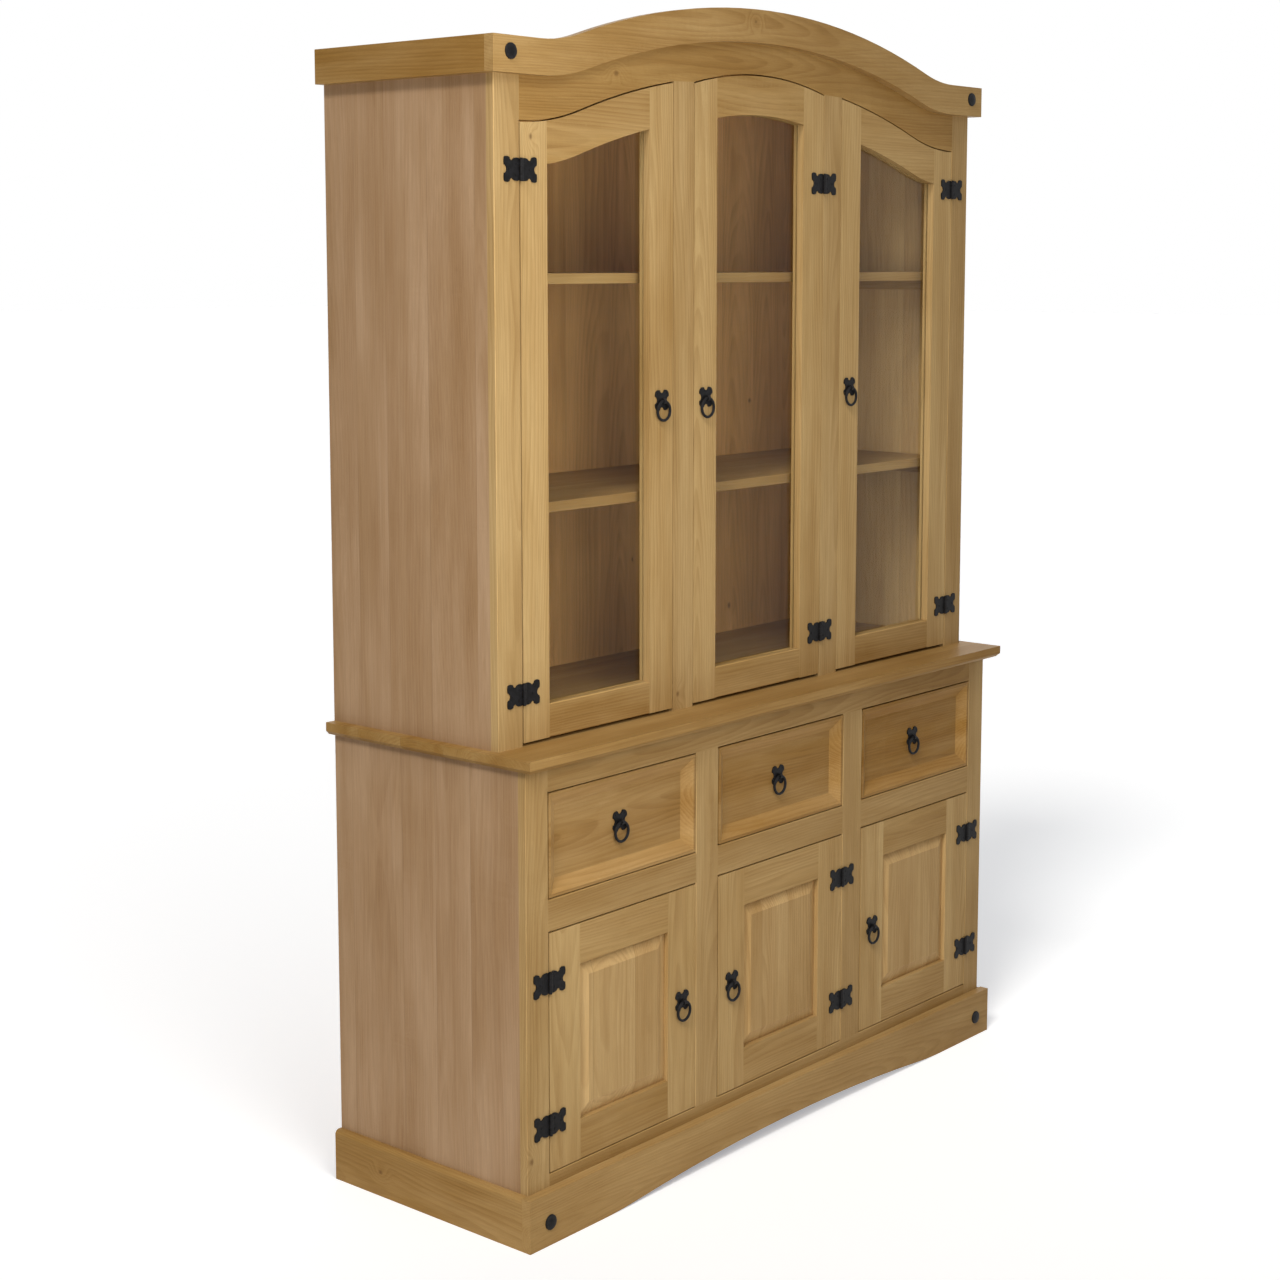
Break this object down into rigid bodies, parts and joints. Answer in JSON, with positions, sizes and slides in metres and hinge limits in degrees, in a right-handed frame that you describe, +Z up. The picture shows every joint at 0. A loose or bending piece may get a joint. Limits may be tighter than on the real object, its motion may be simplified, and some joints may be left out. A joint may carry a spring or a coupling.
{
  "type": "buffet and hutch",
  "caption": "Waxed pine sideboard with drawers and panelled doors, carrying a glazed hutch with an arched cornice and black iron hinges and ring pulls.",
  "frame": {"origin": "on the floor, under the middle of the worktop", "axes": "+Z up, the front faces -Y, +X to the right of someone facing the front"},
  "size_m": [1.32, 0.448, 1.9095],
  "materials": {
    "pine_side": "waxed, satin, honey brown",
    "pine_frame": "waxed, satin, light honey",
    "pine_frieze": "waxed, satin, orange honey",
    "pine_trim": "waxed, satin, honey",
    "pine_inside": "waxed, matt, brown",
    "pine_door": "waxed, satin, honey",
    "pine_panel": "waxed, satin, deep honey",
    "iron": "satin black",
    "glass": "clear"
  },
  "bodies": {
    "cabinet": {"buffet_sides": "pine_side", "hutch_sides": "pine_side", "buffet_stiles": "pine_frame", "buffet_rails": "pine_frame", "hutch_stiles": "pine_frame", "frieze": "pine_frieze", "plinth_front": "pine_trim", "plinth_sides": "pine_trim", "worktop": "pine_trim", "cornice_front": "pine_trim", "cornice_sides": "pine_trim", "buffet_bottom": "pine_inside", "buffet_back": "pine_inside", "buffet_shelf": "pine_inside", "drawer_deck": "pine_inside", "drawer_guides": "pine_inside", "hutch_bottom": "pine_inside", "hutch_top": "pine_inside", "hutch_back": "pine_inside", "hutch_shelves": "pine_inside", "shelf_cleats": "pine_inside", "hinge_frame_leaves": "iron", "hinge_pins": "iron", "studs": "iron"},
    "left_drawer": {"left_drawer_front": "pine_panel", "left_drawer_box": "pine_inside", "left_drawer_pull": "iron"},
    "left_drawer_ring": {"left_drawer_ring": "iron"},
    "middle_drawer": {"middle_drawer_front": "pine_panel", "middle_drawer_box": "pine_inside", "middle_drawer_pull": "iron"},
    "middle_drawer_ring": {"middle_drawer_ring": "iron"},
    "right_drawer": {"right_drawer_front": "pine_panel", "right_drawer_box": "pine_inside", "right_drawer_pull": "iron"},
    "right_drawer_ring": {"right_drawer_ring": "iron"},
    "left_lower_door": {"left_lower_door_frame": "pine_door", "left_lower_door_panel": "pine_panel", "left_lower_door_ironwork": "iron"},
    "left_lower_door_ring": {"left_lower_door_ring": "iron"},
    "middle_lower_door": {"middle_lower_door_frame": "pine_door", "middle_lower_door_panel": "pine_panel", "middle_lower_door_ironwork": "iron"},
    "middle_lower_door_ring": {"middle_lower_door_ring": "iron"},
    "right_lower_door": {"right_lower_door_frame": "pine_door", "right_lower_door_panel": "pine_panel", "right_lower_door_ironwork": "iron"},
    "right_lower_door_ring": {"right_lower_door_ring": "iron"},
    "left_glazed_door": {"left_glazed_door_frame": "pine_door", "left_glazed_door_pane": "glass", "left_glazed_door_ironwork": "iron"},
    "left_glazed_door_ring": {"left_glazed_door_ring": "iron"},
    "middle_glazed_door": {"middle_glazed_door_frame": "pine_door", "middle_glazed_door_pane": "glass", "middle_glazed_door_ironwork": "iron"},
    "middle_glazed_door_ring": {"middle_glazed_door_ring": "iron"},
    "right_glazed_door": {"right_glazed_door_frame": "pine_door", "right_glazed_door_pane": "glass", "right_glazed_door_ironwork": "iron"},
    "right_glazed_door_ring": {"right_glazed_door_ring": "iron"}
  },
  "joints": [
    {"name": "left_drawer_slide", "type": "slide", "parent": "cabinet", "child": "left_drawer", "axis": [0, -1, 0], "range_m": [0, 0.26]},
    {"name": "left_drawer_ring_swing", "type": "hinge", "parent": "left_drawer", "child": "left_drawer_ring", "pos_m": [-0.41467, -0.1907, 0.62225], "axis": [-1, 0, 0], "range_deg": [0, 175]},
    {"name": "middle_drawer_slide", "type": "slide", "parent": "cabinet", "child": "middle_drawer", "axis": [0, -1, 0], "range_m": [0, 0.26]},
    {"name": "middle_drawer_ring_swing", "type": "hinge", "parent": "middle_drawer", "child": "middle_drawer_ring", "pos_m": [0, -0.1907, 0.62225], "axis": [-1, 0, 0], "range_deg": [0, 175]},
    {"name": "right_drawer_slide", "type": "slide", "parent": "cabinet", "child": "right_drawer", "axis": [0, -1, 0], "range_m": [0, 0.26]},
    {"name": "right_drawer_ring_swing", "type": "hinge", "parent": "right_drawer", "child": "right_drawer_ring", "pos_m": [0.41467, -0.1907, 0.62225], "axis": [-1, 0, 0], "range_deg": [0, 175]},
    {"name": "left_lower_door_hinge", "type": "hinge", "parent": "cabinet", "child": "left_lower_door", "pos_m": [-0.592, -0.2002, 0.295], "axis": [0, 0, -1], "range_deg": [0, 165]},
    {"name": "left_lower_door_ring_swing", "type": "hinge", "parent": "left_lower_door", "child": "left_lower_door_ring", "pos_m": [-0.27333, -0.2027, 0.2955], "axis": [-1, 0, 0], "range_deg": [0, 175]},
    {"name": "middle_lower_door_hinge", "type": "hinge", "parent": "cabinet", "child": "middle_lower_door", "pos_m": [0.17733, -0.2002, 0.295], "axis": [0, 0, 1], "range_deg": [0, 110]},
    {"name": "middle_lower_door_ring_swing", "type": "hinge", "parent": "middle_lower_door", "child": "middle_lower_door_ring", "pos_m": [-0.14133, -0.2027, 0.2955], "axis": [-1, 0, 0], "range_deg": [0, 175]},
    {"name": "right_lower_door_hinge", "type": "hinge", "parent": "cabinet", "child": "right_lower_door", "pos_m": [0.592, -0.2002, 0.295], "axis": [0, 0, 1], "range_deg": [0, 165]},
    {"name": "right_lower_door_ring_swing", "type": "hinge", "parent": "right_lower_door", "child": "right_lower_door_ring", "pos_m": [0.27333, -0.2027, 0.2955], "axis": [-1, 0, 0], "range_deg": [0, 175]},
    {"name": "left_glazed_door_hinge", "type": "hinge", "parent": "cabinet", "child": "left_glazed_door", "pos_m": [-0.587, -0.1452, 1.235], "axis": [0, 0, -1], "range_deg": [0, 165]},
    {"name": "left_glazed_door_ring_swing", "type": "hinge", "parent": "left_glazed_door", "child": "left_glazed_door_ring", "pos_m": [-0.261, -0.1477, 1.2755], "axis": [-1, 0, 0], "range_deg": [0, 175]},
    {"name": "middle_glazed_door_hinge", "type": "hinge", "parent": "cabinet", "child": "middle_glazed_door", "pos_m": [0.178, -0.1452, 1.235], "axis": [0, 0, 1], "range_deg": [0, 110]},
    {"name": "middle_glazed_door_ring_swing", "type": "hinge", "parent": "middle_glazed_door", "child": "middle_glazed_door_ring", "pos_m": [-0.148, -0.1477, 1.2755], "axis": [-1, 0, 0], "range_deg": [0, 175]},
    {"name": "right_glazed_door_hinge", "type": "hinge", "parent": "cabinet", "child": "right_glazed_door", "pos_m": [0.587, -0.1452, 1.235], "axis": [0, 0, 1], "range_deg": [0, 165]},
    {"name": "right_glazed_door_ring_swing", "type": "hinge", "parent": "right_glazed_door", "child": "right_glazed_door_ring", "pos_m": [0.261, -0.1477, 1.2755], "axis": [-1, 0, 0], "range_deg": [0, 175]}
  ]
}
